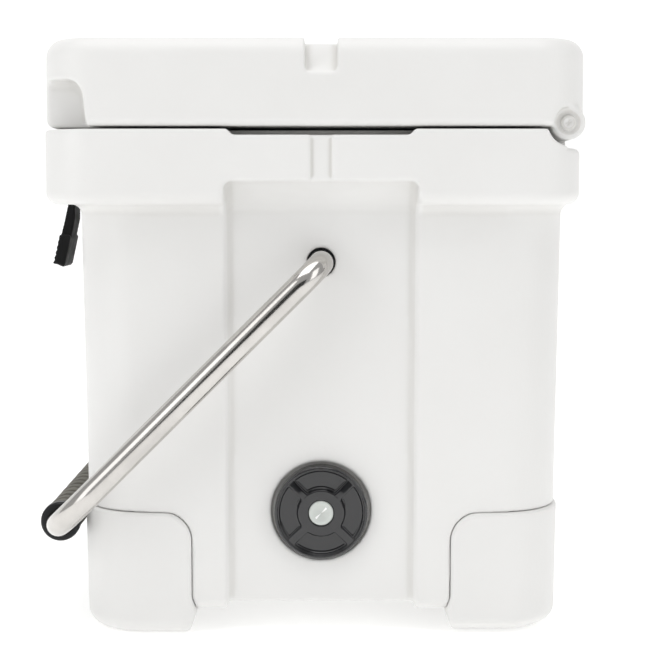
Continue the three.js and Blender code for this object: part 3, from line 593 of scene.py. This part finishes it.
SHELL = moulded_white("shell_plastic")
FEET = moulded_white("foot_plastic", 0.985)
TUBE = steel("polished_tube", 0.10, 0.2, tint=(0.62, 0.60, 0.575))
PINS = steel("plain_steel", 0.25, 0.42, (0.05, 1, 1))
# The second colour is painted shade for the bottom of the grip's grooves.
GRIP = foam_rubber("grip_foam", (0.115, 0.108, 0.086), (0.012, 0.012, 0.010))
CAPS = dark_plastic("cap_plastic", (0.005, 0.0055, 0.007), 0.3, 0.44, shine=0.3)
KNOB = dark_plastic("knob_plastic", (0.005, 0.005, 0.0065), 0.08, 0.18, 0.015, 900, 0.6)
DRAIN = dark_plastic("drain_plastic", (0.03, 0.031, 0.034), 0.25, 0.4)
HUB = dark_plastic("hub_plastic", (0.60, 0.63, 0.60), 0.38, 0.5)
LATCH = dark_plastic("latch_rubber", (0.004, 0.004, 0.0045), 0.5, 0.68, 0.05, 1100, shine=0.2)
SEAL = dark_plastic("seal_rubber", (0.035, 0.035, 0.036), 0.6, 0.8, 0.04, 1300)
FOAM = urethane("insulating_foam")


def paint(obj, *mats):
    obj.data.materials.clear()
    for mat in mats:
        obj.data.materials.append(mat)
    return obj


# ---- Moulded pieces
coarse = 1.0
FINE = 1.3 * coarse
WIDE = 3.2 * coarse
end_x = [(-241, -188, FINE), (-188, -164, 2), (-164, -116, 1.7 * coarse), (-116, -66, WIDE), (-66, -54, FINE)]
xs = lines(*end_x, (-54, 54, WIDE), *[(-b, -a, s) for a, b, s in reversed(end_x)])
front_y = [(-187, -154, FINE), (-154, -70, 1.8 * coarse)]
body_ys = lines(*front_y, (-70, 70, 1.5 * coarse), (70, 177, FINE)) + SHIFT
body_zs = lines((14, 29, FINE), (29, COLLAR_Z - 16, 1.9 * coarse), (COLLAR_Z - 16, HINGE_Z + 15, FINE))
points, quads = mesh_of(body_shape, xs, body_ys, body_zs)
paint(new_object("moulded_body", points, quads, "body_shell", "body"), SHELL)

lid_ys = lines((-186, -150, FINE), (-150, 102, 1.9 * coarse), (102, 178, FINE)) + SHIFT
low_z = [(LID_Z - 15, LID_Z + 8, FINE), (LID_Z + 8, LID_Z + 27, 1.6 * coarse)]
lid_zs = lines(*low_z, (LID_Z + 27, HEIGHT + 3, FINE))
points, quads = mesh_of(lid_shape, xs, lid_ys, lid_zs)
paint(new_object("moulded_lid", points, quads, "lid_shell", "lid"), SHELL)

for name, sx, sy in (
    ("front_left", -1, -1),
    ("front_right", 1, -1),
    ("back_left", -1, 1),
    ("back_right", 1, 1),
):
    fx = sorted([sx * (FOOT_X - 6), sx * (BODY_X + 4)])
    fy = sorted([sy * (FOOT_Y - 6), sy * (BODY_Y + 5)])
    points, quads = mesh_of(
        foot_shape,
        lines((*fx, 1.2 * coarse)),
        lines((*fy, 1.2 * coarse)) + SHIFT,
        lines((-2, FOOT_TOP + 4, 1.2 * coarse)),
    )
    foot = new_object("moulded_foot_" + name, points, quads, "foot_" + name, "body")
    paint(foot, FEET)

points, quads = mesh_of(
    gasket_shape,
    lines((-193, -145, 1.2 * coarse), (-145, 145, 5), (145, 193, 1.2 * coarse)),
    lines((-139, -89, 1.2 * coarse), (-89, 89, 5), (89, 139, 1.2 * coarse)) + SHIFT,
    lines((LID_Z - 2.3, LID_Z + 3.9, 0.62)),
)
paint(new_object("lid_seal", points, quads, "lid_gasket", "lid"), SEAL)

points, quads = mesh_of(
    latch_shape,
    lines((-19, 19, 0.9 * coarse)),
    lines((LATCH_Y - 19, LATCH_Y + 10, 0.6 * coarse)) + SHIFT,
    lines((COLLAR_Z - 46, LATCH_Z + 10, 0.8 * coarse)),
)
for side, x in (("left", -LATCH_X), ("right", LATCH_X)):
    moved = points + np.array([x, 0, 0])
    latch = new_object("latch_" + side, moved, quads, "latch_strap_" + side, "latch_" + side)
    paint(latch, LATCH)

points, quads = mesh_of(
    knob_shape,
    lines((SEAT_X - 1, SEAT_X + 14, 0.45 * coarse)),
    lines((-33, 33, 0.55 * coarse)) + SHIFT,
    lines((DRAIN_Z - 33, DRAIN_Z + 33, 0.55 * coarse)),
)
knob = new_object("drain_knob", points, quads, "plug_knob", "drain_knob")
paint(knob, KNOB)


# ---- Turned pieces
def turn(name, node, body_name, slot, mat, profile, y, z, steps=64):
    points, faces = turned(profile, steps, y, z)
    return paint(new_object(name, points, faces, node, body_name), mat)


def chamfered(inner, outer, x0, x1, c=0.4):
    """Profile of a ring with its outer edges taken off."""
    return [(inner, x0), (outer - c, x0), (outer, x0 + c), (outer, x1 - c), (outer - c, x1), (inner, x1)]


ARM_X = 248.0
CAP_END = span_of("grip_cap_right", 0)[1]
GRIP_HALF = span_of("handle_grip", 0)[1]
REST_Y = middle_of("handle_grip", 1) - SHIFT
GRIP_Z = middle_of("handle_grip", 2)
REACH = math.hypot(REST_Y, GRIP_Z - PIVOT_Z)
ARM_DOWN = math.acos(-REST_Y / REACH)

# Foam grip, its rings drawn in by narrow grooves
ribs, per_rib = 32, 14
pitch = 2 * GRIP_HALF / ribs
u = np.linspace(0, ribs, ribs * per_rib + 1)
x = u * pitch - GRIP_HALF
to_groove = (0.5 - np.abs((u % 1) - 0.5)) * pitch
dip = np.exp(-((to_groove / 1.15) ** 2))
swell = 0.28 * (1 - (2 * to_groove / pitch - 1) ** 2)
radius = 12.35 - 1.55 * dip + swell - 0.1
outer = list(zip(radius, x))
inner = [(8.3, v) for v in np.linspace(GRIP_HALF, -GRIP_HALF, 60)]
points, faces = turned(outer + inner, 72, REST_Y, GRIP_Z)
# Painted shade mask for the grip: 1 at the bottom of each groove, 0 on the crowns and the bore.
ring = np.tile(np.concatenate([dip, np.zeros(len(inner))]), 72)
rng = np.random.default_rng(7)
wave = np.sin(points[:, 0] * 0.31 + 2 * np.sin(points[:, 1] * 0.2)) * 0.12
centre = np.array([REST_Y + SHIFT, GRIP_Z])
away = points[:, 1:] - centre
size = np.sqrt((away * away).sum(1))
push = np.where(size > 9, wave + rng.normal(0, 0.03, len(points)), 0)
points[:, 1:] += away / size[:, None] * push[:, None]
grip = paint(new_object("foam_grip", points, faces, "handle_grip", "handle"), GRIP)
floats(grip, "groove", np.clip(ring * 1.15, 0, 1))

for side, s in (("left", -1), ("right", 1)):
    x0, x1 = CAP_END - 7, CAP_END
    edge = arc(x1 - 2.6, 0, 2.6, 0, 90, 7)
    profile = [(8.3, x0), (12.9, x0), (13.4, x0 + 0.5), (13.4, x0 + 2.0), (13.1, x0 + 2.3), (13.4, x0 + 2.6)]
    profile += [(10.8 + v, u) for u, v in reversed(edge)] + [(8.7, x1), (8.3, x1 - 0.4)]
    profile = [(r, s * v) for r, v in profile]
    turn("grip_end_" + side, "grip_cap_" + side, "handle", "black_plastic", CAPS, profile, REST_Y, GRIP_Z)
    ring_x = sorted([s * 195.0, s * 212.3])
    turn(
        "pivot_bush_" + side, "handle_bushing_" + side, "body", "black_plastic", CAPS,
        chamfered(8.3, 9.3, *ring_x, 0.3), 0, PIVOT_Z,
    )
    pin_x = (s * LATCH_X - 18.4, s * LATCH_X + 18.4)
    bar_profile = [(0.05, pin_x[0]), (2.5, pin_x[0]), (3.0, pin_x[0] + 0.5), (3.0, pin_x[1] - 0.5)]
    bar_profile += [(2.5, pin_x[1]), (0.05, pin_x[1])]
    turn("latch_rod_" + side, "latch_pin_" + side, "lid", "steel", PINS, bar_profile, LATCH_Y, LATCH_Z, 40)

rod_end = span_of("hinge_rod", 0)[1]
rod = [(0.05, -rod_end), (2.6, -rod_end), (3.2, 0.6 - rod_end)]
rod += [(3.2, rod_end - 0.6), (2.6, rod_end), (0.05, rod_end)]
turn("hinge_pin_rod", "hinge_rod", "body", "steel", PINS, rod, HINGE_Y, HINGE_Z, 40)
for side, s in (("left", -1), ("right", 1)):
    cap = [(0.05, rod_end + 0.6), (2.8, rod_end + 0.6), (3.2, rod_end + 1)]
    cap += [(3.2, 226.3), (5.0, 226.3), (5.2, 226.5)]
    cap += [(5.1, 227.0), (4.6, 227.4), (3.4, 227.6), (3.1, 227.2), (0.05, 227.1)]
    cap = [(r, s * v) for r, v in cap]
    turn("hinge_end_cap_" + side, "hinge_cap_" + side, "lid", "shell_plastic", SHELL, cap, HINGE_Y, HINGE_Z)

# Drain fittings
FACE_IN = 172.6
flange = [(9, FACE_IN - 11), (12.4, FACE_IN - 11), (13, FACE_IN - 10.4)]
for k in range(5):
    start = FACE_IN - 10.2 + 2 * k
    flange += [(13, start), (12.4, start + 0.7), (12.4, start + 1.0), (13, start + 1.7)]
flange += [(13, SEAT_X + 0.3), (20.6, SEAT_X + 0.3), (21, SEAT_X + 0.7), (21, SEAT_X + 2.4)]
flange += [(20.6, SEAT_X + 2.8), (9.4, SEAT_X + 2.8), (9, SEAT_X + 2.4)]
turn("drain_sleeve", "drain_bushing", "body", "drain_plastic", DRAIN, flange, 0, DRAIN_Z)
washer = chamfered(13.3, 16.8, FACE_IN - 2.3, FACE_IN - 0.3)
turn("drain_gasket_ring", "drain_washer", "body", "seal_rubber", SEAL, washer, 0, DRAIN_Z)
groove_x = SEAT_X - 24
core = [(0.05, groove_x - 4), (7.6, groove_x - 4), (8.6, groove_x - 3), (8.6, groove_x), (6.9, groove_x)]
core += [(6.9, groove_x + 2.4), (8.6, groove_x + 2.4), (8.6, SEAT_X + 3.2), (12, SEAT_X + 3.2)]
core += [(12, SEAT_X + 5.2), (6, SEAT_X + 5.2), (6, SEAT_X + 9.8), (8.2, SEAT_X + 9.8), (8.2, SEAT_X + 11.9)]
core += [(7.9, SEAT_X + 12.5), (7.3, SEAT_X + 12.8), (5.2, SEAT_X + 12.7)]
core += [(4.9, SEAT_X + 12.4), (0.05, SEAT_X + 12.3)]
turn("drain_core", "plug_core", "drain_plug", "grey_plastic", HUB, core, 0, DRAIN_Z)
oring = [(7.95 + v, groove_x + 1.2 + w) for v, w in arc(0, 0, 0.85, 0, 345, 24)]
turn("drain_o_ring", "plug_o_ring", "drain_plug", "seal_rubber", SEAL, oring, 0, DRAIN_Z)


# ---- Bent handle tube: hollow, its stubs turning in the body's ends
half = [(196.0, 0.0)] + [(228 - 32 * (1 - k / 6), 0.0) for k in range(1, 6)]
half += arc(228, 20, 20, -90, 0, 20)
half += [(ARM_X, s) for s in np.linspace(30, REACH - 46, 12)]
half += arc(ARM_X - 41, REACH - 41, 41, 0, 90, 28)
half += [(x, REACH) for x in np.linspace(190, 20, 8)]
path = np.array(half + [(-x, s) for x, s in reversed(half)])
along = np.array([0, -math.cos(ARM_DOWN), -math.sin(ARM_DOWN)])
up = np.cross([1, 0, 0], along)
middle = path[:, :1] * np.array([[1.0, 0, 0]]) + path[:, 1:] * along + np.array([0, SHIFT, PIVOT_Z])
tangent = np.gradient(middle, axis=0)
tangent[0], tangent[-1] = (1, 0, 0), (-1, 0, 0)
tangent /= np.linalg.norm(tangent, axis=1)[:, None]
side_way = np.cross(tangent, up)
round_a = np.arange(48) / 48 * 2 * math.pi


def tube_rings(r, order):
    ring = np.cos(round_a)[None, :, None] * up + np.sin(round_a)[None, :, None] * side_way[:, None, :]
    return (middle[:, None, :] + r * ring)[order]


forward = np.arange(len(path))
rings = np.concatenate([tube_rings(8.0, forward), tube_rings(6.5, forward[::-1])])
n = len(rings)
i, j = np.meshgrid(np.arange(n), np.arange(48), indexing="ij")
i2, j2 = (i + 1) % n, (j + 1) % 48
faces = np.stack([i * 48 + j, i * 48 + j2, i2 * 48 + j2, i2 * 48 + j], -1).reshape(-1, 4)
tube = new_object("bail_tube", rings.reshape(-1, 3), faces, "handle_tube", "handle")
paint(tube, TUBE)

# ---- Carried-over pieces
for node in ("body_foam_core", "lid_foam_core"):
    paint(NODES[node], FOAM)
for node in ("body_fill_plug", "lid_fill_plug"):
    paint(NODES[node], FEET)
paint(NODES["drain_inner_nut"], DRAIN)
for corner in ("front_left", "front_right", "back_left", "back_right"):
    paint(NODES["foot_screw_" + corner], PINS)

# ---- Floor, light and camera
GLOW = {"Emission_Color": (1, 1, 1, 1), "Emission_Strength": 0.35}
FLOOR = material("floor_paper", (0.93, 0.93, 0.925), 0.75, **GLOW)
tree, shader = FLOOR[1], FLOOR[2]
tree.links.new(
    mixed(tree, ranged(tree, noise(tree, 3, 2), 0, 1, 0.3, 0.7), (0.92, 0.92, 0.915), (0.94, 0.94, 0.937)),
    shader.inputs["Base Color"],
)
size = 6.0
bend = 0.9
profile = [(4.0, 0.0), (-1.6, 0.0)]
profile += [(-1.6 - bend * math.sin(a), bend - bend * math.cos(a)) for a in np.radians(np.arange(10, 91, 10))]
profile += [(-1.6 - bend, 4.0)]
points = [(x * 1000, y * 1000, z * 1000) for y in (-size, size) for x, z in profile]
n = len(profile)
faces = [(k, k + 1, n + k + 1, n + k) for k in range(n - 1)]
mesh = bpy.data.meshes.new("floor")
mesh.from_pydata([tuple(c * MM for c in p) for p in points], [], faces)
floor = bpy.data.objects.new("floor", mesh)
bpy.context.scene.collection.objects.link(floor)
for poly in mesh.polygons:
    poly.use_smooth = True
paint(floor, FLOOR[0])

world = bpy.data.worlds.new("studio")
world.use_nodes = True
world.node_tree.nodes["Background"].inputs["Color"].default_value = (1, 1, 1, 1)
world.node_tree.nodes["Background"].inputs["Strength"].default_value = 0.5
bpy.context.scene.world = world


def lamp(name, place, target, width, height, power):
    data = bpy.data.lights.new(name, "AREA")
    data.shape = "RECTANGLE"
    data.size, data.size_y, data.energy = width, height, power
    obj = bpy.data.objects.new(name, data)
    obj.location = place
    obj.rotation_euler = (Vector(target) - Vector(place)).to_track_quat("-Z", "Y").to_euler()
    bpy.context.scene.collection.objects.link(obj)


lamp("top_box", (0.5, -0.15, 1.9), (0.05, 0, 0.2), 1.6, 1.6, 16)
lamp("left_box", (1.25, -1.35, 0.75), (0.1, 0, 0.2), 0.9, 1.4, 5.2)
lamp("right_box", (1.25, 1.5, 0.9), (0.1, 0, 0.2), 0.9, 1.4, 5.2)

# A dark card behind the camera, for the steel and the glossy knob to reflect
CARD_X = 2.1
card_mesh = bpy.data.meshes.new("dark_card")
card_corners = ((-0.75, 0.02), (0.75, 0.02), (0.75, 0.85), (-0.75, 0.85))
card_mesh.from_pydata([(CARD_X, y, z) for y, z in card_corners], [], [(0, 1, 2, 3)])
card = bpy.data.objects.new("dark_card", card_mesh)
bpy.context.scene.collection.objects.link(card)
paint(card, material("dark_card_paper", (0.03, 0.03, 0.03), 0.9)[0])

camera_data = bpy.data.cameras.new("camera")
camera_data.lens = 77.3
camera_data.sensor_width = 36
camera_data.shift_y = -0.042
camera_data.shift_x = 0.006
camera = bpy.data.objects.new("camera", camera_data)
camera.location = (1.138, SHIFT * MM, 0.2927)
tilt = math.radians(4)
camera.rotation_euler = (Vector((-math.cos(tilt), 0, -math.sin(tilt)))).to_track_quat("-Z", "Y").to_euler()
bpy.context.scene.collection.objects.link(camera)
bpy.context.scene.camera = camera
bpy.context.scene.view_settings.view_transform = "Standard"
